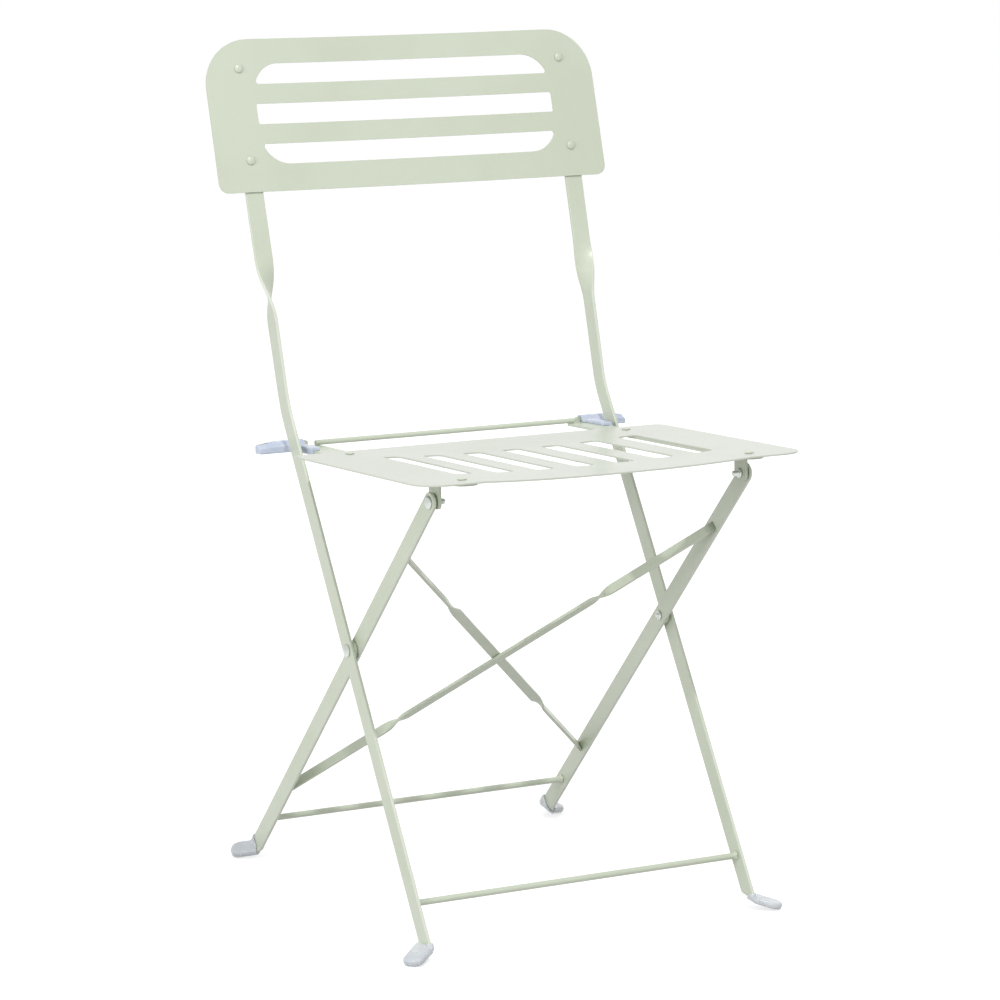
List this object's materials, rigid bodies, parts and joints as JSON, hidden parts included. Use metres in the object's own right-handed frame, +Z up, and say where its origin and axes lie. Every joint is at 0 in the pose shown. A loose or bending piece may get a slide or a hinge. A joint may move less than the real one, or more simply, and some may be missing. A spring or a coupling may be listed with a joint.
{
  "type": "folding metal garden chair",
  "caption": "Folding bistro chair of painted flat steel bars with a slatted pressed seat, a slatted backrest, crossed braces and clear foot caps.",
  "frame": {"origin": "on the floor, under the middle of the chair's overall box", "axes": "+Z up, the chair faces -Y, +X is the viewer's right when facing the chair"},
  "size_m": [0.4218, 0.4583, 0.8088],
  "materials": {
    "green_paint": "satin",
    "clear_plastic": "clear, slightly milky"
  },
  "bodies": {
    "back_frame": {"upright_left": "green_paint", "upright_right": "green_paint", "back_panel": "green_paint", "back_rivet_left_lower": "green_paint", "back_rivet_left_upper": "green_paint", "back_rivet_right_lower": "green_paint", "back_rivet_right_upper": "green_paint", "front_crossbar": "green_paint", "front_foot_cap_left": "clear_plastic", "front_foot_cap_right": "clear_plastic", "cross_rivet_left": "green_paint", "cross_rivet_right": "green_paint"},
    "rear_leg_frame": {"rear_leg_left": "green_paint", "rear_leg_right": "green_paint", "rear_crossbar": "green_paint", "brace_bar_over": "green_paint", "brace_bar_under": "green_paint", "rear_foot_cap_left": "clear_plastic", "rear_foot_cap_right": "clear_plastic", "cross_washer_left": "green_paint", "cross_washer_right": "green_paint", "seat_pivot_rivet_left": "green_paint", "seat_pivot_rivet_right": "green_paint", "seat_pivot_washer_left": "green_paint", "seat_pivot_washer_right": "green_paint"},
    "seat_frame": {"seat_panel": "green_paint", "seat_rail_left": "green_paint", "seat_rail_right": "green_paint", "seat_rivet_left_front": "green_paint", "seat_rivet_left_rear": "green_paint", "seat_rivet_right_front": "green_paint", "seat_rivet_right_rear": "green_paint", "rear_rod": "green_paint", "hook_cover_left": "clear_plastic", "hook_cover_right": "clear_plastic"}
  },
  "joints": [
    {"name": "leg_fold", "type": "hinge", "parent": "back_frame", "child": "rear_leg_frame", "pos_m": [0, -0.0202, 0.2552], "axis": [-1, 0, 0], "range_deg": [0, 61]},
    {"name": "seat_fold", "type": "hinge", "parent": "rear_leg_frame", "child": "seat_frame", "pos_m": [0, -0.17351, 0.41961], "axis": [1, 0, 0], "range_deg": [0, 116]}
  ],
  "couplings": [
    {"joint": "seat_fold", "follows": "leg_fold", "ratio": 1.89}
  ]
}
